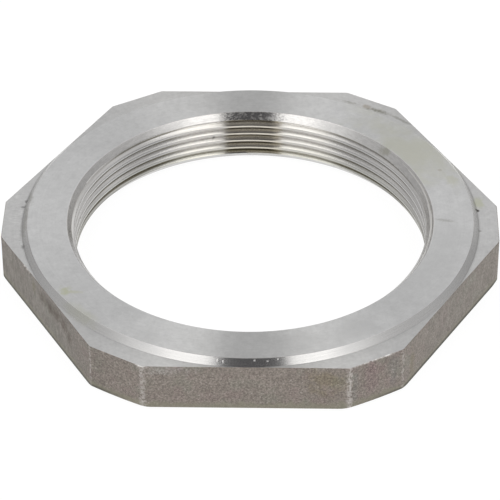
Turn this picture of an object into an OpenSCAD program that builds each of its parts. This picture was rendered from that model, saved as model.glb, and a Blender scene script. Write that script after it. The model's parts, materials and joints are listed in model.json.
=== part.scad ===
// Hub nut for a heavy axle: a thin hexagon nut with cut-off corners,
// a turned bearing boss on top and a fine thread through the middle.
// It lies on its underside, with the thread's axis along +Z. Millimetres and degrees.

/* [Hexagon] */
// Width across the six wrench flats
across_flats = 102; // [96:0.5:108]
// Width across the six flats that cut off the corners
across_corners = 110.25; // [108:0.25:116]
// Overall height, from the underside to the bearing face
height = 12.5; // [9:0.1:20]

/* [Bearing boss] */
// Diameter of the flat bearing face
boss_d = 99.2; // [88:0.1:101]
// Step from the bearing face down to the corner pads
boss_step = 1.4; // [0.5:0.1:3]
// Slope of the boss's flank, in degrees from the axis
boss_flank = 43; // [30:1:60]

/* [Thread] */
// Nominal diameter of the metric thread
thread_d = 80; // [60:1:84]
// Pitch of the thread
thread_pitch = 2; // [1:0.5:3]
// Bore diameter above the basic inner diameter of the thread, within its tolerance
bore_allowance = 0.45; // [0:0.05:0.5]
// Diameter of the thread's two mouths above the nominal diameter
mouth_over = 1.5; // [0.4:0.1:3]
// Slope of the mouth chamfers, in degrees from the axis
mouth_angle = 40; // [30:1:60]

/* [Underside] */
// Radial width of the chamfer on the underside, at the twelve upright edges
corner_chamfer = 0.6; // [0.2:0.1:3]
// Rise of that chamfer, in degrees from the underside
corner_rise = 30; // [15:1:45]

/* [Hidden] */
$fn = 180;

// Basic inner diameter of a metric thread, in pitches below the nominal one
inner_pitches = 1.0825;
// How far cutting shapes reach past the faces that they cut
reach = 1;
// Half the angle between neighbouring flats of a hexagon
half_side = 30;

// Half-length of a wrench flat, up to where the corner flat cuts it
flat_half = (across_corners / 2 - across_flats / 2 * cos(half_side)) / sin(half_side);
// Radius of the circle through the twelve upright edges
edge_r = norm([across_flats / 2, flat_half]);

pad_z = height - boss_step;
boss_r = boss_d / 2;
boss_foot_r = boss_r + boss_step * tan(boss_flank);

bore_r = (thread_d - inner_pitches * thread_pitch + bore_allowance) / 2;
mouth_r = (thread_d + mouth_over) / 2;
mouth_depth = (mouth_r - bore_r) / tan(mouth_angle);

underside_r = edge_r - corner_chamfer;
blank_r = max(edge_r, boss_foot_r) + reach;

// Upright hexagon prism, with two of its flats facing -Y and +Y
module hexagon_prism(width) {
    cylinder(h = height, r = width / 2 / cos(half_side), $fn = 6);
}

// Forged blank: a hexagon whose six corners are cut off by a second, turned hexagon
module hexagon_blank() {
    intersection() {
        hexagon_prism(across_flats);
        rotate([0, 0, half_side]) hexagon_prism(across_corners);
    }
}

// What the lathe leaves outside: underside chamfer, corner pads, boss flank, bearing face
module turned_outside() {
    rotate_extrude()
        polygon([
            [0, 0],
            [underside_r, 0],
            [blank_r, (blank_r - underside_r) * tan(corner_rise)],
            [blank_r, pad_z],
            [boss_foot_r, pad_z],
            [boss_r, height],
            [0, height],
        ]);
}

// Bore at the thread's inner diameter, with a chamfered mouth at each end
module threaded_bore() {
    past_mouth_r = mouth_r + reach * tan(mouth_angle);
    rotate_extrude()
        polygon([
            [0, -reach],
            [past_mouth_r, -reach],
            [bore_r, mouth_depth],
            [bore_r, height - mouth_depth],
            [past_mouth_r, height + reach],
            [0, height + reach],
        ]);
}

module hub_nut() {
    color([0.68, 0.68, 0.67])
        difference() {
            intersection() {
                hexagon_blank();
                turned_outside();
            }
            threaded_bore();
        }
}

hub_nut();
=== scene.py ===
import json
import math

import bpy
import numpy as np
from mathutils import Matrix, Vector


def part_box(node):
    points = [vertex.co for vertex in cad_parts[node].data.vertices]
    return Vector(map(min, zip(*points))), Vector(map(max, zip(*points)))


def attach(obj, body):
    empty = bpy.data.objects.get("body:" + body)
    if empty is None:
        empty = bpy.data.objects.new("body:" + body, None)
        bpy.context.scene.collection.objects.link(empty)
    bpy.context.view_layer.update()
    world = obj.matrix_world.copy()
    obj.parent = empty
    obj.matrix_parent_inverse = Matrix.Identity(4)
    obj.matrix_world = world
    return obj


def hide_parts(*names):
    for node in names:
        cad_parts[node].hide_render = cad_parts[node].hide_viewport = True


# Hub nut: turned, threaded and forged surfaces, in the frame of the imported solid
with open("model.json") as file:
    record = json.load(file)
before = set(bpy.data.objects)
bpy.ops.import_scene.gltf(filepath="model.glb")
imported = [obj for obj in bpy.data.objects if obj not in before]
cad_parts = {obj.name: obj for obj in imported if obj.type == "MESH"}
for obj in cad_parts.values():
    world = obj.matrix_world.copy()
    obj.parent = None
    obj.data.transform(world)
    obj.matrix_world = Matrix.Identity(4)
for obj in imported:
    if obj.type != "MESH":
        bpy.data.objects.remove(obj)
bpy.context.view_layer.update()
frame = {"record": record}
mm = 0.001  # the mesh is worked out in millimetres and put in as metres
low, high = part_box("hub_nut")
threadMount = next(m for m in frame["record"]["mounts"] if m["name"] == "thread")
print("frame loaded")

# Sizes in millimetres and degrees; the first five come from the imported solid
nut = {
    "height": (high.z - low.z) / mm,
    "acrossFlats": (high.y - low.y) / mm,
    "acrossCorners": (high.x - low.x) / mm,
    "boreRadius": threadMount["dims"]["r_mm"],
    "boreLength": threadMount["dims"]["length_mm"],
    "mouthAngle": 40.0,  # of the mouth cones, from the axis
    "bossRadius": 49.6,
    "bossStep": 1.4,
    "bossFlank": 43.0,  # from the axis
    "cornerChamfer": 0.6,  # radial, on the underside
    "cornerRise": 30.0,
    "chamferShift": (-0.2, 0.0),  # the underside chamfer was turned a little off centre
    "uprightWear": 0.2,  # how much the twelve upright edges are worn round
    "uprightWaves": {"seed": 11, "counts": (5, 11, 17), "share": 0.4},
    "mouthEdge": 0.08,  # small rounds on the turned edges
    "bossEdge": 0.06,
    "footFillet": 0.08,
    "padEdge": 0.10,  # round between pad and side, before its waves and burrs
    "padEdgeWaves": {"seed": 3, "counts": (13, 29, 41), "share": 0.25},
    "undersideEdge": 0.14,
    "turnedSteps": 3,  # points on a turned round and on a worn one
    "wornSteps": 4,
    "angleCount": 480,
    "edgeCrowd": 4.0,  # extra angles close to the upright edges
    "edgeSpan": 0.9,  # degrees over which they are crowded
    "sharpAngle": 35.0,  # between faces, from which an edge is shaded sharp
    # how bright each upright edge is rubbed, from the first one after +X on, and how far
    "edgeRub": (0.3, 0.3, 0.3, 0.3, 0.3, 0.3, 0.3, 0.6, 0.75, 0.85, 0.6, 0.35),
    "edgeWidth": (0.5, 0.5, 0.5, 0.5, 0.5, 0.5, 0.5, 0.35, 0.9, 0.85, 0.6, 0.5),
    "rimRub": 0.2,  # how bright the upper rim is rubbed between its burrs
    # burrs on the upper rim: middle and half-span in degrees, and how bright
    "burrs": ((200.0, 3.0, 0.95), (246.5, 1.4, 1.4), (299.5, 6.6, 1.05), (302.4, 0.7, 1.6)),
    "burrDepth": 0.26,  # how far the rim is rubbed down the side
    "burrWiden": 0.7,  # share by which a burr widens the round
    "burrLip": 0.075,  # mean height that the burrs stand up
    "burrWaves": {"seed": 7, "counts": (61, 97, 139), "share": 1.0},
}

# Right-hand thread: a helix of crest, flank, root and flank, with rounds between them
thread = {
    "pitch": 2.0,
    "rootRadius": 40.1,
    "runOutDeeper": 0.32,  # share by which the groove is deeper where it runs out in the upper mouth
    "runOutFrom": 10.6,  # heights between which it gets deeper
    "runOutTo": 11.4,
    "rootFlat": 0.15,
    "flankAngle": 34.5,  # from the radius, a little flatter than new
    "crestRound": 0.25,  # radial range over which crest and flank run into each other
    "rootRound": 0.15,
    "phase": 0.93,  # height of a crest's middle at angle zero
    "steps": 18,  # points over one pitch
    "crowd": 3.0,  # extra points close to the rounds
    "crowdSpan": 0.1,
}


# Angle from the nearest of six directions, which lie 60 degrees apart from the first one on
def fromNearest(angle, first):
    sixth = math.pi / 3
    return (angle - first + sixth / 2) % sixth - sixth / 2


# Lesser of two values, eased by a parabola where they differ by less than width
def smoothMin(a, b, width):
    near = np.maximum(width - np.abs(a - b), 0) / width
    return np.minimum(a, b) - near * near * width / 4


# Steady waviness round the nut: the mean of sines, whose phases come from a seed, times a share
def wander(angle, waves):
    counts = np.array(waves["counts"])
    phases = np.random.default_rng(waves["seed"]).uniform(0, 2 * math.pi, len(counts))
    return waves["share"] * np.sin(np.multiply.outer(angle, counts) + phases).mean(axis=-1)


# Steps from start to end, crowded near given places:
# equal shares of the running sum of a density with a bump at each place
def crowdedSteps(start, end, count, places, span, crowd):
    fineCount = 40001
    fine = np.linspace(start, end, fineCount)
    bumps = np.exp(-((fine[:, None] - places) / span) ** 2).sum(axis=1)
    running = np.cumsum(1 + crowd * bumps)
    running = (running - running[0]) / (running[-1] - running[0])
    return np.interp(np.arange(count) / count, running, fine)


# Radius of the twelve-sided outline: the nearer of a wrench flat and a corner flat, worn round between
def outlineRadius(angle):
    flat = nut["acrossFlats"] / 2 / np.cos(fromNearest(angle, math.pi / 6))
    corner = nut["acrossCorners"] / 2 / np.cos(fromNearest(angle, 0.0))
    wear = nut["uprightWear"] * (1 + wander(angle, nut["uprightWaves"]))
    return smoothMin(flat, corner, wear)


# Angles of the twelve upright edges, which lie either side of each wrench flat's middle
def uprightEdges():
    flatR = nut["acrossFlats"] / 2
    half = math.radians(30)
    flatHalf = (nut["acrossCorners"] / 2 - flatR * math.cos(half)) / math.sin(half)
    aside = math.atan2(flatHalf, flatR)
    middles = np.arange(6) * math.pi / 3 + math.pi / 6
    return np.sort(np.concatenate([middles - aside, middles + aside]) % (2 * math.pi))


# Radius of the circle through the twelve upright edges
def uprightRadius():
    aside = fromNearest(uprightEdges()[0], math.pi / 6)
    return nut["acrossFlats"] / 2 / math.cos(aside)


# Angles round the nut, crowded at the upright edges, with one angle on each edge
def spreadAngles():
    edges = uprightEdges()
    span = math.radians(nut["edgeSpan"])
    angles = crowdedSteps(0, 2 * math.pi, nut["angleCount"], edges, span, nut["edgeCrowd"])
    nearest = np.abs(angles[:, None] - edges).argmin(axis=0)
    angles[nearest] = edges
    return angles


# Height of the turned top over a radius: bearing face, then flank, then pad
def topHeight(radius):
    fall = (radius - nut["bossRadius"]) / math.tan(math.radians(nut["bossFlank"]))
    return nut["height"] - np.clip(fall, 0, nut["bossStep"])


# Radius of the flank's foot: the bearing face's radius plus the step times the flank's slope
def footRadius():
    return nut["bossRadius"] + nut["bossStep"] * math.tan(math.radians(nut["bossFlank"]))


# Depth of the mouth cones along the axis: half of what the thread leaves of the height
def mouthDepth():
    return (nut["height"] - nut["boreLength"]) / 2


# Radius of the mouth cones over the height: it grows from the bore towards the nearer face
def coneRadius(z):
    inside = np.maximum(mouthDepth() - z, z - nut["height"] + mouthDepth())
    return nut["boreRadius"] + inside * math.tan(math.radians(nut["mouthAngle"]))


# Straight run between two points of the section, at given shares of the way, without its first point
def straightRun(start, end, shares):
    shares = np.asarray(shares)
    return [s[:, None] + (e - s)[:, None] * shares for s, e in zip(start, end)]


# Round between two points of the section: a parabola that leaves and arrives along the lines to the corner
def roundRun(start, corner, end, steps):
    t = np.arange(1, steps + 1) / steps
    return [
        s[:, None] * (1 - t) ** 2 + 2 * c[:, None] * t * (1 - t) + e[:, None] * t ** 2
        for s, c, e in zip(start, corner, end)
    ]


zones = ["turnedFace", "bossFlank", "cornerPad", "forgedSide", "underside", "threadWall", "mouthCone"]


# Outside of the nut: the section through each angle, from the upper mouth outwards and down to the lower one
def outsideSurface(angles):
    one = np.ones_like(angles)
    height = nut["height"] * one
    edge = nut["mouthEdge"]
    mouthR = coneRadius(height)
    inR = coneRadius(height - edge)
    bossR = nut["bossRadius"] * one
    bossEdge = nut["bossEdge"]
    lean = math.sin(math.radians(nut["bossFlank"]))
    outR = outlineRadius(angles)
    middle, span, bright = np.array(nut["burrs"]).T
    burr = (bright * np.exp(-((np.degrees(angles)[:, None] - middle) / span) ** 4)).max(axis=1)
    padEdge = nut["padEdge"] * (1 + wander(angles, nut["padEdgeWaves"]) + nut["burrWiden"] * burr)
    lip = nut["burrLip"] * burr * (1 + wander(angles, nut["burrWaves"]))
    rimR = outR - padEdge
    rimZ = topHeight(outR)
    padStart = np.minimum(footRadius(), rimR)
    fillet = np.minimum(nut["footFillet"], (rimR - padStart) / 2)
    shiftX, shiftY = nut["chamferShift"]
    underR = uprightRadius() - nut["cornerChamfer"] + shiftX * np.cos(angles) + shiftY * np.sin(angles)
    rise = math.tan(math.radians(nut["cornerRise"]))
    underEdge = nut["undersideEdge"]
    heelR = outR - underEdge
    chamferEnd = np.minimum(underR, heelR)
    turned, worn = nut["turnedSteps"], nut["wornSteps"]

    # shares of the way at which straight runs have points
    spread = [0.03, 0.1, 0.22, 0.36, 0.5, 0.64, 0.78, 0.9, 0.97, 1]
    few = [0.12, 0.5, 0.88, 1]
    wall = [0.03, 0.08, 0.2, 0.35, 0.5, 0.65, 0.8, 0.92, 0.97, 1]

    runsR = [inR[:, None]]
    runsZ = [(height - edge)[:, None]]
    zoneOf = []

    def add(run, zone):
        runsR.append(run[0])
        runsZ.append(run[1])
        zoneOf.extend([zones.index(zone)] * run[0].shape[1])

    def here():
        return runsR[-1][:, -1], runsZ[-1][:, -1]

    def top(radius):
        return radius, topHeight(radius)

    def bottom(radius):
        return radius, np.maximum(0, (radius - underR) * rise)

    footZ = bottom(outR)[1] + underEdge
    add(roundRun(here(), (mouthR, height), (mouthR + edge, height), turned), "mouthCone")
    add(straightRun(here(), (bossR - bossEdge, height), spread), "turnedFace")
    add(roundRun(here(), (bossR, height), top(bossR + bossEdge * lean), turned), "bossFlank")
    add(straightRun(here(), top(padStart - fillet * lean), few), "bossFlank")
    add(roundRun(here(), top(padStart), top(padStart + fillet), turned), "cornerPad")
    add(straightRun(here(), top(rimR), few), "cornerPad")
    add(roundRun(here(), (outR, rimZ + lip), (outR, rimZ - padEdge), worn), "forgedSide")
    add(straightRun(here(), (outR, footZ), wall), "forgedSide")
    add(roundRun(here(), bottom(outR), bottom(heelR), worn), "forgedSide")
    add(straightRun(here(), bottom(chamferEnd), few), "forgedSide")
    add(straightRun(here(), (mouthR + edge, 0 * one), spread), "underside")
    add(roundRun(here(), (mouthR, 0 * one), (inR, edge * one), turned), "mouthCone")

    r, z = np.hstack(runsR), np.hstack(runsZ)
    rows, columns = r.shape
    x = r * np.cos(angles)[:, None]
    y = r * np.sin(angles)[:, None]
    points = np.stack([x, y, z], axis=-1).reshape(-1, 3)

    # wear grows towards the upright edges and towards the upper rim
    away = np.abs((angles[:, None] - uprightEdges() + math.pi) % (2 * math.pi) - math.pi) * uprightRadius()
    upright = (np.array(nut["edgeRub"]) * np.exp(-(away / np.array(nut["edgeWidth"])) ** 2)).max(axis=1)
    nearRim = np.exp(-((rimZ[:, None] - z) / nut["burrDepth"]) ** 2)
    rim = np.maximum(nut["rimRub"], burr)[:, None] * nearRim
    wear = np.maximum(upright[:, None], rim).reshape(-1)

    i, j = np.meshgrid(np.arange(rows), np.arange(columns - 1), indexing="ij")
    after = (i + 1) % rows
    quads = [i * columns + j, i * columns + j + 1, after * columns + j + 1, after * columns + j]
    faceZones = np.broadcast_to(np.array(zoneOf), (rows, columns - 1))
    groove = np.zeros(len(points))
    return points, np.stack(quads, axis=-1).reshape(-1, 4), faceZones.reshape(-1), wear, groove


# Depth of the thread from crest to root
def grooveDepth():
    return thread["rootRadius"] - nut["boreRadius"]


# Half-widths of the crest and of the root's edge, from the pitch, the root's flat and the slope of the flank
def threadHalves():
    rootHalf = (thread["pitch"] - thread["rootFlat"]) / 2
    return rootHalf - grooveDepth() * math.tan(math.radians(thread["flankAngle"])), rootHalf


# Depth of the thread over the distance from a crest's middle: crest, straight flank and root, with rounds
def threadDepth(s):
    crestHalf, _ = threadHalves()
    flank = (np.abs(s) - crestHalf) / math.tan(math.radians(thread["flankAngle"]))
    fromCrest = -smoothMin(-flank, 0.0, thread["crestRound"])
    return smoothMin(fromCrest, grooveDepth(), thread["rootRound"])


# Wall of the bore: the thread's profile carried up a helix, deeper where it runs out in the upper mouth,
# and cut back by the cone of each mouth
def threadSurface(angles):
    pitch = thread["pitch"]
    crestHalf, rootHalf = threadHalves()
    corners = np.array([-rootHalf, -crestHalf, crestHalf, rootHalf])
    s = crowdedSteps(-pitch / 2, pitch / 2, thread["steps"], corners, thread["crowdSpan"], thread["crowd"])

    count, columns = len(angles), len(s)
    below = math.ceil(thread["phase"] / pitch) + 1
    turns = math.ceil((nut["height"] - thread["phase"]) / pitch) + below + 1
    total = np.concatenate([angles + 2 * math.pi * k for k in range(turns + 1)])
    z = thread["phase"] + (total[:, None] / (2 * math.pi) - below) * pitch + s
    edge = nut["mouthEdge"]
    z = np.clip(z, edge, nut["height"] - edge)
    cone = coneRadius(z)
    runOut = np.clip((z - thread["runOutFrom"]) / (thread["runOutTo"] - thread["runOutFrom"]), 0, 1)
    profile = nut["boreRadius"] + threadDepth(s) * (1 + thread["runOutDeeper"] * runOut)
    r = np.maximum(profile, cone)
    inCone = cone > profile
    groove = np.where(inCone, 0.0, threadDepth(s) / grooveDepth())
    points = np.stack([r * np.cos(total)[:, None], r * np.sin(total)[:, None], z], axis=-1).reshape(-1, 3)

    # a turn's last column is joined to the first column of the turn above it
    i, j = np.meshgrid(np.arange(turns * count - 1), np.arange(columns), indexing="ij")
    over = np.where(j + 1 < columns, i * columns + j + 1, (i + count) * columns)
    overNext = np.where(j + 1 < columns, (i + 1) * columns + j + 1, (i + 1 + count) * columns)
    quads = np.stack([i * columns + j, over, overNext, (i + 1) * columns + j], axis=-1).reshape(-1, 4)
    onCone = inCone.reshape(-1)[quads].mean(axis=1) > 0.5
    faceZones = np.where(onCone, zones.index("mouthCone"), zones.index("threadWall"))
    return points, quads, faceZones, np.zeros(len(points)), groove.reshape(-1)


# One closed mesh of several surfaces: equal points are merged, and faces that shrink to a line are left out
def weldSurfaces(name, surfaces):
    points, quads, faceZones, wear, groove = zip(*surfaces)
    offsets = np.cumsum([0] + [len(p) for p in points])
    quads = np.concatenate([q + o for q, o in zip(quads, offsets)])
    points, faceZones, wear, groove = map(np.concatenate, (points, faceZones, wear, groove))
    grain = 1e-4  # millimetres within which points count as equal
    cells = np.round(points / grain).astype(np.int64)
    _, first, merged = np.unique(cells, axis=0, return_index=True, return_inverse=True)
    quads = merged.reshape(-1)[quads]
    keep = quads != np.roll(quads, 1, axis=1)
    whole = keep.sum(axis=1) >= 3
    quads, keep, faceZones = quads[whole], keep[whole], faceZones[whole]
    used, corners = np.unique(quads[keep], return_inverse=True)
    points, wear, groove = points[first][used] * mm, wear[first][used], groove[first][used]

    mesh = bpy.data.meshes.new(name)
    mesh.vertices.add(len(points))
    mesh.vertices.foreach_set("co", points.reshape(-1))
    mesh.loops.add(len(corners))
    mesh.loops.foreach_set("vertex_index", corners.reshape(-1))
    mesh.polygons.add(len(quads))
    sides = keep.sum(axis=1)
    mesh.polygons.foreach_set("loop_start", np.concatenate([[0], np.cumsum(sides)[:-1]]))
    mesh.polygons.foreach_set("material_index", faceZones)
    mesh.update(calc_edges=True)
    mesh.validate()
    for label, values in (("wear", wear), ("groove", groove)):
        layer = mesh.attributes.new(label, "FLOAT", "POINT")
        layer.data.foreach_set("value", values)
    mesh.shade_smooth()
    mesh.set_sharp_from_angle(angle=math.radians(nut["sharpAngle"]))
    piece = bpy.data.objects.new(name, mesh)
    bpy.context.scene.collection.objects.link(piece)
    return piece


# One node of a material: its options, then its inputs as values or links; the first output unless named
def put(tree, kind, inputs=None, out=0, **options):
    node = tree.nodes.new("ShaderNode" + kind)
    for key, value in options.items():
        setattr(node, key, value)
    for key, value in (inputs or {}).items():
        if isinstance(value, bpy.types.NodeSocket):
            tree.links.new(value, node.inputs[key])
        else:
            node.inputs[key].default_value = value
    return node.outputs[out] if node.outputs else None


# Arithmetic on one or two values
def calc(tree, operation, a, b=0.0):
    return put(tree, "Math", {0: a, 1: b}, operation=operation)


# Product of two values
def both(tree, a, b):
    return calc(tree, "MULTIPLY", a, b)


# Arithmetic on one or two vectors
def vectorCalc(tree, operation, a, b=(0, 0, 0), out=0):
    return put(tree, "VectorMath", {0: a, 1: b}, out=out, operation=operation)


# Vector or colour times a factor
def scaleBy(tree, vector, factor):
    return put(tree, "VectorMath", {0: vector, "Scale": factor}, operation="SCALE")


# Share of the way from start to end, held between 0 and 1 and eased at both ends
def ease(tree, value, start, end):
    inputs = {"Value": value, "From Min": start, "From Max": end}
    return put(tree, "MapRange", inputs, interpolation_type="SMOOTHSTEP")


# A share between 0 and 1 stretched to run between two other values
def stretch(tree, share, start, end):
    return put(tree, "MapRange", {"Value": share, "To Min": start, "To Max": end})


# Blend of two colours by a share, or of a colour and its product with another one
def blend(tree, share, a, b, how="MIX"):
    return put(tree, "Mix", {0: share, 6: a, 7: b}, out=2, data_type="RGBA", blend_type=how)


# Colour times a factor where a share is 1, and as it is where the share is 0
def lift(tree, colour, share, factor):
    return scaleBy(tree, colour, stretch(tree, share, 1.0, factor))


# Colour made darker and lighter by a noise, by up to a share either way
def vary(tree, colour, noise, share):
    return scaleBy(tree, colour, stretch(tree, noise, 1 - share, 1 + share))


# Parts of a place along the three axes
def axes(tree, place):
    split = tree.nodes.new("ShaderNodeSeparateXYZ")
    tree.links.new(place, split.inputs[0])
    return split.outputs


# Speckle in space: so many grains to the millimetre
def speckle(tree, place, perMm, detail=2.0, rough=0.5):
    return put(tree, "TexNoise", {"Vector": place, "Scale": perMm, "Detail": detail, "Roughness": rough})


# Lines that follow a single value, such as turning marks over the radius
def lines(tree, value, perMm, detail=2.0, rough=0.6):
    inputs = {"W": value, "Scale": perMm, "Detail": detail, "Roughness": rough}
    return put(tree, "TexNoise", inputs, noise_dimensions="1D")


# Place on the nut in millimetres
def placeMm(tree):
    return scaleBy(tree, put(tree, "TexCoord", out="Object"), 1 / mm)


# Place in millimetres, distance from the axis, and unit vectors outwards and round the axis
def axisPlace(tree):
    place = placeMm(tree)
    flat = vectorCalc(tree, "MULTIPLY", place, (1, 1, 0))
    radius = vectorCalc(tree, "LENGTH", flat, out="Value")
    outward = vectorCalc(tree, "NORMALIZE", flat)
    around = vectorCalc(tree, "CROSS_PRODUCT", (0, 0, 1), outward)
    return place, radius, outward, around


# Streaks that run round the axis: noise over the outward direction, the height and the radius
def streaks(tree, place, radius, outward, perTurn, perMm, detail=2.0):
    turned = scaleBy(tree, outward, perTurn / (2 * math.pi))
    height = vectorCalc(tree, "MULTIPLY", place, (0, 0, perMm))
    vector = vectorCalc(tree, "ADD", turned, height)
    inputs = {"Vector": vector, "W": both(tree, radius, perMm), "Scale": 1.0, "Detail": detail}
    return put(tree, "TexNoise", inputs, noise_dimensions="4D")


fineMarks = 12.0  # tool marks to the millimetre that spread the highlights


# Normal that leans across the tool marks: the surface's normal plus a fine noise along their cross direction
def leaningNormal(tree, around, along, spread):
    facing = put(tree, "NewGeometry", out="Normal")
    across = vectorCalc(tree, "CROSS_PRODUCT", around, facing)
    lean = scaleBy(tree, across, stretch(tree, lines(tree, along, fineMarks), -spread, spread))
    return vectorCalc(tree, "NORMALIZE", vectorCalc(tree, "ADD", facing, lean))


stainEdge = {"detail": 3.0, "rough": 0.6, "ragged": 0.9, "fade": (1.0, 0.2)}


# A stain: middle and half-widths in millimetres, turn in degrees, grains to the millimetre, tone, strength
def stainAt(middle, half, turn, grain, tone=None, strength=1.0):
    return {"middle": middle, "half": half, "turn": turn, "grain": grain, "tone": tone, "strength": strength}


# Share of a stain at a place: 1 in its middle and 0 past its half-widths, with a ragged edge
def stainShare(tree, place, stain):
    offset = vectorCalc(tree, "SUBTRACT", place, stain["middle"])
    turn = (0, 0, -math.radians(stain["turn"]))
    offset = put(tree, "VectorRotate", {"Vector": offset, "Rotation": turn}, rotation_type="EULER_XYZ")
    away = vectorCalc(tree, "LENGTH", vectorCalc(tree, "DIVIDE", offset, stain["half"]), out="Value")
    noise = speckle(tree, place, stain["grain"], stainEdge["detail"], stainEdge["rough"])
    ragged = stretch(tree, noise, -stainEdge["ragged"], stainEdge["ragged"])
    return ease(tree, calc(tree, "ADD", away, ragged), *stainEdge["fade"])


# Stains laid over a colour one after the other, each in its own tone and strength
def addStains(tree, place, colour, stains, how="MIX"):
    for stain in stains:
        share = both(tree, stainShare(tree, place, stain), stain["strength"])
        colour = blend(tree, share, colour, stain["tone"], how)
    return colour


# Empty material, ready for its nodes
def startMaterial(name):
    material = bpy.data.materials.new(name)
    material.use_nodes = True
    material.node_tree.nodes.clear()
    return material, material.node_tree


# Output of a material
def endMaterial(tree, shader):
    put(tree, "OutputMaterial", {"Surface": shader})


# Bare steel whose highlights are drawn out across the tool marks
def endSteel(tree, look, colour, rough, tangent, normal):
    endMaterial(tree, put(tree, "BsdfPrincipled", {
        "Base Color": colour, "Metallic": 1.0, "Roughness": rough, "Tangent": tangent, "Normal": normal,
        "Anisotropic": look["drawnOut"], "Anisotropic Rotation": look["drawnTurn"],
    }))


# Grey of a level, with red raised and blue lowered by the same share
def grey(level, warm=0.0):
    return (level * (1 + warm), level, level * (1 - warm), 1)


# In all finishes, a noise is given by its grains to the millimetre, detail and roughness,
# streaks by their number to the turn and to the millimetre, and their detail,
# and a range by the two values between which a share grows from 0 to 1; places are in millimetres
straw = (0.51, 0.51, 0.43, 1)
olive = (0.44, 0.455, 0.29, 1)
rust = (0.30, 0.25, 0.18, 1)
soot = (0.05, 0.045, 0.04, 1)
slag = (0.21, 0.205, 0.17, 1)
dun = (0.33, 0.325, 0.24, 1)

# The left pad, which the tool has left rippled
leftPad = stainAt((-51.5, 1.0, 11.1), (6, 14, 3), 0, 0.2)

# Stains on the turned top, with some painted shade among them, as marked
topStains = [
    stainAt((-39.2, -27.4, 12.5), (1.6, 2.2, 2), 35, 0.9, olive, 0.65),
    stainAt((-37.2, -27.8, 12.5), (2.6, 0.7, 2), 0, 0.9, straw, 0.7),
    stainAt((35, 27.5, 12.5), (11, 21, 3), 38, 0.12, straw, 0.7),
    stainAt((45.1, 14.4, 12.5), (2, 3, 2), 15, 0.6, straw, 0.6),
    stainAt((26.3, 45.2, 11.1), (1.8, 1, 1.3), -30, 2.2, rust, 0.5),
    stainAt((26.6, 44.2, 11.1), (0.9, 0.6, 1.3), -30, 2.2, slag, 0.4),
    stainAt((28.2, 44, 11.1), (1.6, 0.7, 1.3), -32, 2.0, slag, 0.6),
    stainAt((29.6, 43.2, 11.1), (2.6, 1, 1.3), -32, 1.6, slag, 0.7),
    stainAt((34.5, 39.8, 11.1), (5, 0.6, 1.3), -40, 2.2, slag, 0.5),
    stainAt((22.5, 46.9, 11.1), (2.6, 0.6, 1.3), -24, 2.0, slag, 0.5),
    stainAt((-35.5, -34.5, 11.8), (2, 7, 2), 46, 0.3, straw, 0.5),
    # the next four are painted shade: grey washes that darken the bearing face at the right and the front
    stainAt((39, -17, 12.5), (8, 24, 3), -24, 0.12, grey(0.48), 0.35),
    stainAt((23.5, -39.5, 12.5), (8, 4.5, 1.2), 31, 0.15, grey(0.48), 0.6),
    stainAt((11, -44, 12.5), (5, 5, 1.2), 14, 0.15, grey(0.47), 0.45),
    stainAt((-21, -43, 12.5), (5, 3, 1.2), -26, 0.15, grey(0.48), 0.4),
    stainAt((42.5, 18.2, 12.5), (0.8, 0.6, 2), 0, 1.0, rust, 0.35),
    stainAt((50.9, 7.6, 11.1), (1.7, 3, 1.3), 0, 0.6, olive, 0.45),
    stainAt((50.6, 4.7, 11.2), (0.8, 0.7, 2), 0, 0.8, soot, 0.95),
    stainAt((51.0, -2.8, 11.1), (0.6, 0.4, 2), 0, 1.2, soot, 0.5),
    stainAt((43.2, -0.8, 12.5), (3.2, 0.7, 2), -12, 2.8, slag, 0.35),
    stainAt((-50.4, 6.6, 11.2), (0.6, 1, 1), 0, 1.2, soot, 0.6),
    stainAt((-51, 4.6, 11.1), (1.2, 0.6, 1), 0, 1.5, soot, 0.5),
    # the next three are painted shade along the lower part of the left flank and its foot
    stainAt((-50.8, -2.5, 11.1), (0.45, 8, 0.8), 0, 1.6, soot, 0.15),
    stainAt((-50.1, -1, 12), (0.8, 11, 1.2), 0, 0.7, slag, 0.4),
    stainAt((-49.6, 7.5, 12), (0.8, 7, 1.2), 8, 0.7, slag, 0.4),
    stainAt((-49.9, -10.2, 11.1), (0.6, 0.9, 1), 12, 1.5, soot, 0.45),
]

# What the bearing face, the pads and the underside share, and then what differs
turnedLook = {
    "rings": (2.6, 4.0, 0.7),
    "cloud": (0.08, 4.0, 0.6),
    "mottle": (1.0, 3.0, 0.7),
    "mottleShare": 0.19,
    "blotch": (0.35, 2.0, 0.5),
    "blotchShare": 0.09,
    "ripple": (1.0, 3.0, 0.7),
    "rippleStretch": (0.5, 2.2, 0),
    "rippleShare": 0.0,  # on the left pad
    "footRange": (0.38, 0.08),  # outwards from the flank's foot
    "footLine": 1.0,  # factor for the painted shade along the foot
    "roughSwing": 0.04,
    "drawnOut": 1.0,
    "drawnTurn": 0.0,
}
faceLook = {
    **turnedLook,
    "dark": grey(0.53),
    "light": grey(0.59),
    "ringShare": 0.06,
    "rough": 0.33,
    "spread": 0.5,
}
undersideLook = {
    **turnedLook,
    "dark": grey(0.505, 0.005),
    "light": grey(0.56, 0.005),
    "ringShare": 0.10,
    "rough": 0.34,
    "spread": 0.3,
}
padLook = {**undersideLook, "rippleShare": 0.6, "footLine": 0.93}
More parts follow.
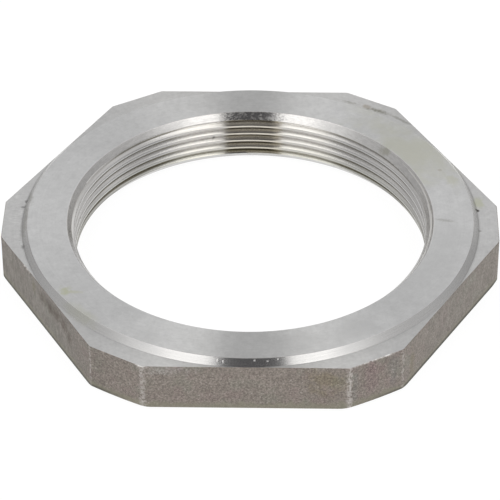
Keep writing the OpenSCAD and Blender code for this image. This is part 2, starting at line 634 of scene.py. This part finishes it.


# Turned steel: rings of tool marks over the radius and slow clouding, with painted shade along the flank's
# foot; highlights spread across the marks
def turnedSteel(name, look):
    material, tree = startMaterial(name)
    place, radius, outward, around = axisPlace(tree)
    mottle = speckle(tree, place, *look["mottle"])
    colour = blend(tree, speckle(tree, place, *look["cloud"]), look["dark"], look["light"])
    colour = vary(tree, colour, lines(tree, radius, *look["rings"]), look["ringShare"])
    colour = vary(tree, colour, mottle, look["mottleShare"])
    colour = vary(tree, colour, speckle(tree, place, *look["blotch"]), look["blotchShare"])

    # ripples darken and lighten the left pad by up to half their share
    across = vectorCalc(tree, "MULTIPLY", place, look["rippleStretch"])
    ripple = calc(tree, "SUBTRACT", speckle(tree, across, *look["ripple"]), 0.5)
    rippled = both(tree, ripple, both(tree, stainShare(tree, place, leftPad), look["rippleShare"]))
    colour = scaleBy(tree, colour, calc(tree, "ADD", rippled, 1.0))

    # painted shade in the crease along the flank's foot
    nearFoot = ease(tree, radius, *(footRadius() + past for past in look["footRange"]))
    colour = lift(tree, colour, nearFoot, look["footLine"])
    colour = addStains(tree, place, colour, topStains)
    rough = stretch(tree, mottle, look["rough"] - look["roughSwing"], look["rough"] + look["roughSwing"])
    normal = leaningNormal(tree, around, radius, look["spread"])
    endSteel(tree, look, colour, rough, outward, normal)
    return material


# Small bright nicks in the front of the flank
flankNicks = [
    stainAt((-5.8, -49.8, 11.95), (0.34, 0.8, 0.3), 0, 2.0),
    stainAt((-4.7, -50, 11.85), (0.25, 0.8, 0.34), 0, 2.0),
    stainAt((1.8, -49.8, 12.15), (0.24, 0.8, 0.22), 0, 2.0),
    stainAt((4.5, -49.8, 12), (0.26, 0.8, 0.2), 0, 2.0),
    stainAt((6.6, -49.4, 12.2), (0.26, 0.8, 0.16), 0, 2.0),
]
flankLook = {
    "dark": grey(0.535, 0.01),
    "light": grey(0.61, 0.012),
    "marks": (60, 4.0, 2.0),
    "sides": (42.0, 49.0),
    "sideShade": 0.83,  # painted shade: factor left and right
    "rough": 0.24,
    "nickRough": 0.2,  # added in the nicks
    "bump": 0.4,
    "bumpDepth": 0.05,
    "spread": 0.2,
    "drawnOut": 0.9,
    "drawnTurn": 0.25,
}


# Fine-turned flank: smooth along the turning, rougher across it, with a few small bright nicks and painted
# shade left and right
def flankSteel(name, look):
    material, tree = startMaterial(name)
    place, radius, outward, around = axisPlace(tree)
    marks = streaks(tree, place, radius, outward, *look["marks"])
    colour = blend(tree, marks, look["dark"], look["light"])
    # painted shade left and right
    aside = calc(tree, "ABSOLUTE", axes(tree, place)["X"])
    colour = lift(tree, colour, ease(tree, aside, *look["sides"]), look["sideShade"])
    nicks = 0.0
    for nick in flankNicks:
        nicks = calc(tree, "MAXIMUM", nicks, stainShare(tree, place, nick))
    rough = calc(tree, "ADD", look["rough"], both(tree, nicks, look["nickRough"]))
    normal = leaningNormal(tree, around, radius, look["spread"])
    bump = {"Height": nicks, "Strength": look["bump"], "Distance": look["bumpDepth"] * mm}
    normal = put(tree, "Bump", {**bump, "Normal": normal})
    endSteel(tree, look, addStains(tree, place, colour, topStains), rough, around, normal)
    return material


threadStains = [
    stainAt((-7.5, 38.6, 10.7), (1.5, 2, 0.35), 0, 1.5, soot, 0.7),
    stainAt((-9.3, 38.3, 6.7), (0.35, 2, 0.6), 0, 1.0, soot, 0.8),
]
threadLook = {
    "clean": grey(0.56, 0.02),
    "dull": grey(0.47, 0.02),
    "cut": (40, 5.0, 3.0),
    "cutRange": (0.3, 0.7),
    "rubbed": grey(0.545, 0.03),  # crests at the back
    "paintedShadeCrest": grey(0.40, 0.01),  # crests at the sides, darker: painted shade
    "crestAside": (14.0, 24.0),
    "crestRange": (0.15, 0.0),  # as a share of the groove's depth
    "sides": (26.0, 36.0),
    # painted light: factors that lift the tone on the left and on the right
    "paintedLightLeft": 1.38,
    "paintedLightRight": 1.2,
    "back": (20.0, 30.0),
    "paintedLight": (0.66, 0.635, 0.58, 1),  # painted light: the back, either side of its middle
    "paintedLightFrom": (5.0, 9.0),
    "paintedLightTo": (21.0, 15.0),
    "paintedLightShare": 0.3,
    "lowDown": (6.0, 1.5),
    "oliveShare": 0.15,  # low down
    # dark colour deep in the groove: painted shade in the roots, partly oil
    "oilAndShade": (0.175, 0.16, 0.115, 1),
    "oilShadeRange": (0.7, 0.95),  # as a share of the groove's depth
    "oilShadeWider": 0.2,  # reach of the oil and painted shade up the groove, low down and at the sides
    "oilShadeLeft": (-18.0, -28.0),  # where it reaches up twice as far, low down
    "oilShadeShare": (0.75, 0.95),  # above, and low down
    "oilShadeUnderLight": 0.15,  # what is left of it under the painted light at the back
    "oilShadeLow": 0.6,  # the least of it low down
    "shadeFadeHeight": (10.8, 11.5),
    "shadeFadeLeftHeight": (9.2, 10.2),
    "shadeFadeLeft": (-29.0, -34.0),
    "oilShadeFaded": 0.2,  # what is left of it where it fades higher up
    "middle": (7.5, 5.0),
    "paintedMiddleLight": (1.18, 1.14, 1.04, 1),  # factors that paint light into the dark middle at the back
    "openHeight": (10.9, 11.4),
    "openFront": (28.0, 14.0),
    "paintedLightOpen": 1.3,  # painted light where the groove runs out in the mouth
    "lipHeight": (9.9, 10.4),
    "lipBack": (28.0, 36.0),
    "paintedLightLip": 1.2,  # the same painted light at the back
    "rough": 0.16,
    "spread": 0.4,
    "drawnOut": 1.0,
    "drawnTurn": 0.25,
}


# Cut thread: streaks along the helix, painted shade with a little oil in the roots and more of it towards
# the underside, painted shade on the crests at the sides, and painted light at the sides, at the back and
# where the groove runs out
def threadSteel(name, look):
    material, tree = startMaterial(name)
    place, radius, outward, around = axisPlace(tree)
    x, y, z = axes(tree, place)
    aside = calc(tree, "ABSOLUTE", x)
    groove = put(tree, "Attribute", out="Fac", attribute_name="groove")
    cut = streaks(tree, place, radius, outward, *look["cut"])
    colour = blend(tree, ease(tree, cut, *look["cutRange"]), look["dull"], look["clean"])
    # crests darker at the sides than at the back: painted shade
    crest = blend(tree, ease(tree, aside, *look["crestAside"]), look["rubbed"], look["paintedShadeCrest"])
    colour = blend(tree, ease(tree, groove, *look["crestRange"]), colour, crest)
    near, far = look["sides"]
    # painted light on the left and right
    colour = lift(tree, colour, ease(tree, x, -near, -far), look["paintedLightLeft"])
    colour = lift(tree, colour, ease(tree, x, near, far), look["paintedLightRight"])

    # painted light: a paler tone at the back, either side of its middle
    back = ease(tree, y, *look["back"])
    paintedLight = both(tree, ease(tree, aside, *look["paintedLightFrom"]), ease(tree, aside, *look["paintedLightTo"]))
    paintedLight = both(tree, paintedLight, back)
    colour = blend(tree, both(tree, paintedLight, look["paintedLightShare"]), colour, look["paintedLight"])
    lowDown = ease(tree, z, *look["lowDown"])
    colour = blend(tree, both(tree, lowDown, look["oliveShare"]), colour, olive)

    # oil and painted shade from a depth of the groove on, less of it under the painted light and where it
    # fades higher up
    wider = calc(tree, "MAXIMUM", lowDown, ease(tree, aside, near, far))
    wider = calc(tree, "ADD", wider, both(tree, lowDown, ease(tree, x, *look["oilShadeLeft"])))
    deeper = calc(tree, "ADD", groove, both(tree, wider, look["oilShadeWider"]))
    oilShade = both(tree, ease(tree, deeper, *look["oilShadeRange"]), stretch(tree, lowDown, *look["oilShadeShare"]))
    oilShadeKept = stretch(tree, paintedLight, 1.0, look["oilShadeUnderLight"])
    oilShade = both(tree, oilShade, calc(tree, "MAXIMUM", oilShadeKept, both(tree, lowDown, look["oilShadeLow"])))
    shadeFadeLeft = both(tree, ease(tree, z, *look["shadeFadeLeftHeight"]), ease(tree, x, *look["shadeFadeLeft"]))
    shadeFade = calc(tree, "MAXIMUM", shadeFadeLeft, ease(tree, z, *look["shadeFadeHeight"]))
    oilShade = both(tree, oilShade, stretch(tree, shadeFade, 1.0, look["oilShadeFaded"]))
    colour = blend(tree, oilShade, colour, look["oilAndShade"])

    # painted light in the dark middle at the back
    middle = both(tree, ease(tree, aside, *look["middle"]), back)
    colour = blend(tree, middle, colour, look["paintedMiddleLight"], "MULTIPLY")
    # painted light where the groove runs out, and under the lip at the back
    opened = both(tree, ease(tree, z, *look["openHeight"]), ease(tree, y, *look["openFront"]))
    colour = lift(tree, colour, opened, look["paintedLightOpen"])
    lip = both(tree, ease(tree, z, *look["lipHeight"]), ease(tree, y, *look["lipBack"]))
    colour = lift(tree, colour, lip, look["paintedLightLip"])
    colour = addStains(tree, place, colour, threadStains)
    normal = leaningNormal(tree, around, calc(tree, "ADD", z, radius), look["spread"])
    endSteel(tree, look, colour, look["rough"], around, normal)
    return material


coneStains = [
    stainAt((30.2, 26.3, 12), (2.4, 1.6, 1.5), -42, 0.8, dun, 0.5),
    stainAt((-39.5, -6, 11.6), (2, 4, 2), 0, 0.6, slag, 0.35),
]
coneLook = {
    "dark": grey(0.54, 0.018),
    "light": grey(0.605, 0.018),
    "chatter": (200, 2.0, 3.0),
    "chatterRange": (0.3, 0.7),
    "front": (-4.0, -12.0),
    "frontShade": 0.74,  # painted shade: factor at the front
    "pits": (300, 2.0, 3.0),
    "pitRange": (0.45, 0.65),
    "middle": (9.0, 6.0),
    "back": (20.0, 30.0),
    "rough": 0.2,
    "pitRough": 0.2,  # added in the pits in the middle of the back
    "bump": 0.12,
    "bumpDepth": 0.06,
    "spread": 0.25,
    "drawnOut": 0.9,
    "drawnTurn": 0.25,
}


# Mouth cone: chattered by the tool, so its tone and slope are mottled; painted shade at the front
def coneSteel(name, look):
    material, tree = startMaterial(name)
    place, radius, outward, around = axisPlace(tree)
    x, y, _ = axes(tree, place)
    chatter = streaks(tree, place, radius, outward, *look["chatter"])
    colour = blend(tree, ease(tree, chatter, *look["chatterRange"]), look["dark"], look["light"])
    # painted shade at the front
    colour = lift(tree, colour, ease(tree, y, *look["front"]), look["frontShade"])
    pits = streaks(tree, place, radius, outward, *look["pits"])
    middle = ease(tree, calc(tree, "ABSOLUTE", x), *look["middle"])
    middle = both(tree, middle, ease(tree, y, *look["back"]))
    pitted = both(tree, ease(tree, pits, *look["pitRange"]), middle)
    rough = calc(tree, "ADD", look["rough"], both(tree, pitted, look["pitRough"]))
    normal = leaningNormal(tree, around, radius, look["spread"])
    bump = {"Height": pits, "Strength": look["bump"], "Distance": look["bumpDepth"] * mm}
    normal = put(tree, "Bump", {**bump, "Normal": normal})
    endSteel(tree, look, addStains(tree, place, colour, coneStains), rough, around, normal)
    return material


sideLook = {
    "dark": (0.185, 0.159, 0.139, 1),
    "light": (0.39, 0.345, 0.308, 1),
    "grain": (2.2, 4.0, 0.7),
    "grainRange": (0.3, 0.72),
    "bump": 0.7,
    "bumpDepth": 0.1,
    "green": (0.94, 1.0, 0.97, 1),  # factors, as for plum
    "greenNoise": (0.2, 3.0, 0.6),
    "greenRange": (0.5, 0.64),
    "plum": (1.02, 0.97, 1.0, 1),
    "plumNoise": (0.22, 2.0, 0.5),
    "plumRange": (0.48, 0.34),
    "tintShare": 0.8,
    "blotch": (0.4, 2.0, 0.5),
    "blotchShare": 0.15,
    "speck": (0.54, 0.49, 0.45, 1),
    "speckNoise": (2.8, 1.0, 0.5),
    "speckRange": (0.62, 0.72),
    "speckShare": 0.6,
    "slate": (0.15, 0.143, 0.127, 1),  # the smoother walls left and right
    "paleSlate": (0.39, 0.378, 0.345, 1),
    "drawnStretch": (1, 1, 0.45),
    "drawnNoise": (0.8, 5.0, 0.7),
    "drawnRange": (0.3, 0.7),
    "drawnAside": (33.0, 41.0),
    "drawnShare": (0.45, 0.3),  # left, and right
    "rightward": (0.0, 20.0),
    "leftward": (-20.0, -38.0),
    "leftShade": 0.88,  # painted shade: factor on the left
    "foot": (0.30, 0.29, 0.22, 1),
    "footNoise": (0.7, 3.0, 0.5),
    "footRagged": 1.6,
    "footRange": (2.2, 0.8),
    "footShare": 0.6,
    # painted shade along the lowest edge
    "paintedLowShade": (0.07, 0.068, 0.055, 1),
    "paintedLowShadeHeight": (1.2, 0.4),
    "paintedLowShadeAside": (24.0, 34.0),
    "paintedLowShadeShare": 0.8,
    "bare": (0.58, 0.54, 0.515, 1),  # where the edges are rubbed
    "patchNoise": (1.1, 4.0, 0.7),
    "patchRange": (-0.9, 2.4),
    "bareRange": (0.15, 0.9),
    "bareShare": 0.8,
    "gleam": (0.86, 0.85, 0.83, 1),  # where they are rubbed most
    "brokenNoise": (2.2, 2.0, 0.5),
    "brokenRange": (0.35, 1.5),
    "gleamRange": (0.7, 1.4),
    "metal": (0.55, 1.0),  # of the scale, and where it gleams
    "rough": (0.6, 0.36),
}

# Stains on the walls, laid out as those on the top; their tones are factors
brown = (0.55, 0.5, 0.45, 1)
ash = (0.91, 0.97, 1.0, 1)
paleAsh = (1.2, 1.3, 1.35, 1)
moss = (0.94, 0.92, 0.79, 1)
plum = (1.0, 0.92, 0.97, 1)
sideStains = [
    stainAt((-44.6, -24.7, 8.2), (2.6, 2, 1.8), 120, 1.3, brown, 0.6),
    stainAt((-42.9, -27.7, 7.8), (2.2, 2, 2.0), 120, 1.6, brown, 0.75),
    stainAt((-41.2, -30.6, 8.2), (2.0, 2, 2.4), 120, 1.6, brown, 0.75),
    stainAt((-39.4, -33.8, 8.0), (2.4, 2, 2.4), 120, 1.6, brown, 0.75),
    stainAt((-38.2, -35.8, 6.2), (1.6, 2, 2.6), 120, 1.6, brown, 0.65),
    stainAt((-42, -29, 8.8), (8, 2, 2.2), 120, 0.9, brown, 0.45),
    stainAt((-46.8, -20.9, 8.4), (1.3, 2, 2.4), 120, 0.8, moss, 0.7),
    stainAt((17.1, -51, 7.5), (6, 2, 5), 0, 0.5, moss, 0.9),
    stainAt((-16.3, -51, 10.3), (8, 2, 2), 0, 0.5, paleAsh, 0.75),
    stainAt((22.8, -50.3, 6), (1.4, 2, 8), 30, 0.6, ash, 0.8),
    stainAt((26.8, -48.2, 6.5), (2.8, 2, 6), 30, 0.4, plum, 0.9),
    stainAt((35.2, -41, 5), (1.6, 2, 5), 60, 0.5, moss, 0.7),
    stainAt((31.4, -45.5, 7.0), (2.0, 2, 7), 30, 0.4, ash, 0.8),
]


# Forged side: dull brownish scale with a coarse grain and slow tints, rubbed brighter along its edges;
# painted shade on the left and along the lowest edge
def forgedSteel(name, look):
    material, tree = startMaterial(name)
    place = placeMm(tree)
    x, _, z = axes(tree, place)
    aside = calc(tree, "ABSOLUTE", x)
    grain = speckle(tree, place, *look["grain"])
    colour = blend(tree, ease(tree, grain, *look["grainRange"]), look["dark"], look["light"])
    for tint in ("green", "plum"):
        share = ease(tree, speckle(tree, place, *look[tint + "Noise"]), *look[tint + "Range"])
        colour = blend(tree, both(tree, share, look["tintShare"]), colour, look[tint], "MULTIPLY")
    colour = vary(tree, colour, speckle(tree, place, *look["blotch"]), look["blotchShare"])
    specks = ease(tree, speckle(tree, place, *look["speckNoise"]), *look["speckRange"])
    colour = blend(tree, both(tree, specks, look["speckShare"]), colour, look["speck"])

    # the walls left and right are greyer, with upright streaks
    upright = vectorCalc(tree, "MULTIPLY", place, look["drawnStretch"])
    drawn = ease(tree, speckle(tree, upright, *look["drawnNoise"]), *look["drawnRange"])
    drawn = blend(tree, drawn, look["slate"], look["paleSlate"])
    share = stretch(tree, ease(tree, x, *look["rightward"]), *look["drawnShare"])
    colour = blend(tree, both(tree, ease(tree, aside, *look["drawnAside"]), share), colour, drawn)
    # painted shade on the left
    colour = lift(tree, colour, ease(tree, x, *look["leftward"]), look["leftShade"])
    colour = addStains(tree, place, colour, sideStains, "MULTIPLY")

    # green tarnish along the foot, and painted shade along the lowest edge away from the front
    ragged = stretch(tree, speckle(tree, place, *look["footNoise"]), -look["footRagged"], look["footRagged"])
    tarnish = ease(tree, calc(tree, "ADD", z, ragged), *look["footRange"])
    colour = blend(tree, both(tree, tarnish, look["footShare"]), colour, look["foot"])
    lowShaded = both(tree, ease(tree, z, *look["paintedLowShadeHeight"]), ease(tree, aside, *look["paintedLowShadeAside"]))
    colour = blend(tree, both(tree, lowShaded, look["paintedLowShadeShare"]), colour, look["paintedLowShade"])

    # rubbed edges
    wear = put(tree, "Attribute", out="Fac", attribute_name="wear")
    patchy = stretch(tree, speckle(tree, place, *look["patchNoise"]), *look["patchRange"])
    rubbed = ease(tree, both(tree, wear, patchy), *look["bareRange"])
    colour = blend(tree, both(tree, rubbed, look["bareShare"]), colour, look["bare"])
    broken = stretch(tree, speckle(tree, place, *look["brokenNoise"]), *look["brokenRange"])
    gleam = ease(tree, both(tree, wear, broken), *look["gleamRange"])
    colour = blend(tree, gleam, colour, look["gleam"])

    bump = {"Height": grain, "Strength": look["bump"], "Distance": look["bumpDepth"] * mm}
    endMaterial(tree, put(tree, "BsdfPrincipled", {
        "Base Color": colour, "Normal": put(tree, "Bump", bump),
        "Metallic": stretch(tree, gleam, *look["metal"]), "Roughness": stretch(tree, gleam, *look["rough"]),
    }))
    return material


angles = spreadAngles()
nutPiece = weldSurfaces("hubNut", [outsideSurface(angles), threadSurface(angles)])
finishes = {
    "turnedFace": turnedSteel("turnedFace", faceLook),
    "bossFlank": flankSteel("bossFlank", flankLook),
    "cornerPad": turnedSteel("cornerPad", padLook),
    "forgedSide": forgedSteel("forgedSide", sideLook),
    "underside": turnedSteel("underside", undersideLook),
    "threadWall": threadSteel("threadWall", threadLook),
    "mouthCone": coneSteel("mouthCone", coneLook),
}
for zone in zones:
    nutPiece.data.materials.append(finishes[zone])
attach(nutPiece, "root")
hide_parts("hub_nut")
print("nut:", len(nutPiece.data.polygons), "faces,", len(nutPiece.data.vertices), "points")

# Size in metres, grey level, share of plain white that the eye sees, and its level
floor = {"size": 8.0, "colour": 0.88, "glow": 0.85, "white": 1.08}


# Pale floor: one square sheet that is plain white to the eye and to bright metal, and keeps the nut's shadow
def makeFloor():
    half = floor["size"] / 2
    points = np.array([[-1, -1, 0], [1, -1, 0], [1, 1, 0], [-1, 1, 0]]) * half
    mesh = bpy.data.meshes.new("floor")
    mesh.from_pydata(points.tolist(), [], [(0, 1, 2, 3)])
    material, tree = startMaterial("paleFloor")
    sight = tree.nodes.new("ShaderNodeLightPath").outputs
    seen = calc(tree, "MAXIMUM", sight["Is Camera Ray"], sight["Is Glossy Ray"])
    seen = calc(tree, "MAXIMUM", seen, sight["Is Transmission Ray"])
    matt = put(tree, "BsdfDiffuse", {"Color": grey(floor["colour"])})
    white = put(tree, "Emission", {"Color": grey(1.0), "Strength": floor["white"]})
    endMaterial(tree, put(tree, "MixShader", {0: both(tree, seen, floor["glow"]), 1: matt, 2: white}))
    mesh.materials.append(material)
    sheet = bpy.data.objects.new("floor", mesh)
    bpy.context.scene.collection.objects.link(sheet)


makeFloor()

# Two long soft boxes overhead, left and right, with a dark gap between them; pale walls, paler behind.
# Places are in metres, and ranges are parts of a unit direction from the nut
studio = {
    "boxMiddle": (0.0, -0.33, 0.9),  # between the two
    "boxAside": {"Left": -0.385, "Right": 0.394},
    "boxSplay": {"Left": -10.0, "Right": 11.5},  # degrees that each is turned about the vertical
    "boxSize": (0.40, 1.1),
    "boxRadiance": 1.0,  # added to the level behind them
    "boxColour": (1.0, 0.985, 0.95),
    "walls": 0.54,
    "backWall": 1.0,
    "backDepth": (0.3, 0.65),
    "backHeight": (0.05, 0.35),
    "backAside": (0.65, 0.45),
    "spill": 0.8,  # level just outside the boxes
    "spillHeight": (0.35, 0.6),
    "spillDepth": (0.5, 0.2),
    "spillAside": (1.0, 0.75),
    "frontSpill": 1.15,  # the same, towards the front
    "frontDepth": (-0.2, -0.4),
    "frontAside": (0.9, 0.65),
    "frontHeight": (0.0, 0.2),
    "gap": 0.1,
    "gapBehind": 0.42,  # the gap away from the front
    "gapMiddle": 0.024,
    "gapMiddleBehind": 0.03,
    "gapHalf": 0.246,
    "gapHalfBehind": 0.237,
    "gapSoft": 0.032,  # width of the gap's edge
    "tint": (0.97, 0.955, 1.0, 1),  # of the gap
    "tintBehind": (1.0, 0.975, 0.92, 1),
}


# Soft box that shines straight down; its power is radiance times pi times its area
def makeSoftBox(side):
    light = bpy.data.lights.new("softBox" + side, "AREA")
    light.shape = "RECTANGLE"
    light.size, light.size_y = studio["boxSize"]
    light.energy = studio["boxRadiance"] * math.pi * light.size * light.size_y
    light.color = studio["boxColour"]
    lamp = bpy.data.objects.new("softBox" + side, light)
    lamp.location = Vector(studio["boxMiddle"]) + Vector((studio["boxAside"][side], 0, 0))
    lamp.rotation_euler = (0, 0, math.radians(studio["boxSplay"][side]))
    lamp.visible_camera = False
    bpy.context.scene.collection.objects.link(lamp)


# Studio walls by direction from the nut: an even level, paler behind and beside the boxes, dark in the gap
def makeWalls():
    world = bpy.data.worlds.new("studio")
    world.use_nodes = True
    tree = world.node_tree
    tree.nodes.clear()
    x, y, z = axes(tree, put(tree, "TexCoord", out="Generated"))
    aside = calc(tree, "ABSOLUTE", x)

    def within(value, name):
        return ease(tree, value, *studio[name])

    def mixIn(level, share, other):
        return put(tree, "Mix", {0: share, 2: level, 3: other}, data_type="FLOAT")

    behind = both(tree, within(y, "backDepth"), within(z, "backHeight"))
    behind = both(tree, behind, within(aside, "backAside"))
    level = mixIn(studio["walls"], behind, studio["backWall"])
    overhead = both(tree, within(z, "spillHeight"), within(y, "spillDepth"))
    level = mixIn(level, both(tree, overhead, within(aside, "spillAside")), studio["spill"])
    inFront = within(y, "frontDepth")
    ahead = both(tree, within(aside, "frontAside"), within(z, "frontHeight"))
    level = mixIn(level, both(tree, inFront, ahead), studio["frontSpill"])

    def inGap(name):
        return mixIn(studio[name + "Behind"], inFront, studio[name])

    offMiddle = calc(tree, "ABSOLUTE", calc(tree, "SUBTRACT", x, inGap("gapMiddle")))
    pastEdge = calc(tree, "SUBTRACT", offMiddle, inGap("gapHalf"))
    between = ease(tree, pastEdge, 0.0, -studio["gapSoft"])
    between = both(tree, between, calc(tree, "MAXIMUM", overhead, inFront))
    level = mixIn(level, between, inGap("gap"))
    gapTint = blend(tree, inFront, studio["tintBehind"], studio["tint"])
    tint = blend(tree, between, grey(1.0), gapTint)
    shader = put(tree, "Background", {"Color": tint, "Strength": level})
    put(tree, "OutputWorld", {"Surface": shader})
    bpy.context.scene.world = world


makeSoftBox("Left")
makeSoftBox("Right")
makeWalls()
print("studio lit")

# View of the photograph, in millimetres and degrees
eye = {
    "aim": (-0.03, -4.12, 6.25),
    "azimuth": 1.224,  # from the front (-Y) towards +X
    "elevation": 37.438,
    "distance": 671.7,
    "roll": -0.21,
    "lens": 217.24,
    "sensor": 36.0,
    "nearest": 10.0,
}


# Camera on a sphere round its aim, turned to look at it and then rolled about its own axis
def makeCamera():
    lens = bpy.data.cameras.new("camera")
    lens.lens = eye["lens"]
    lens.sensor_width = eye["sensor"]
    lens.clip_start = eye["nearest"] * mm
    camera = bpy.data.objects.new("camera", lens)
    bpy.context.scene.collection.objects.link(camera)
    a, e = math.radians(eye["azimuth"]), math.radians(eye["elevation"])
    toward = Vector((math.sin(a) * math.cos(e), -math.cos(a) * math.cos(e), math.sin(e)))
    camera.location = (Vector(eye["aim"]) + toward * eye["distance"]) * mm
    look = (-toward).to_track_quat("-Z", "Y").to_matrix()
    camera.rotation_euler = (look @ Matrix.Rotation(math.radians(eye["roll"]), 3, "Z")).to_euler()
    bpy.context.scene.camera = camera


makeCamera()
bpy.context.scene.view_settings.view_transform = "Standard"
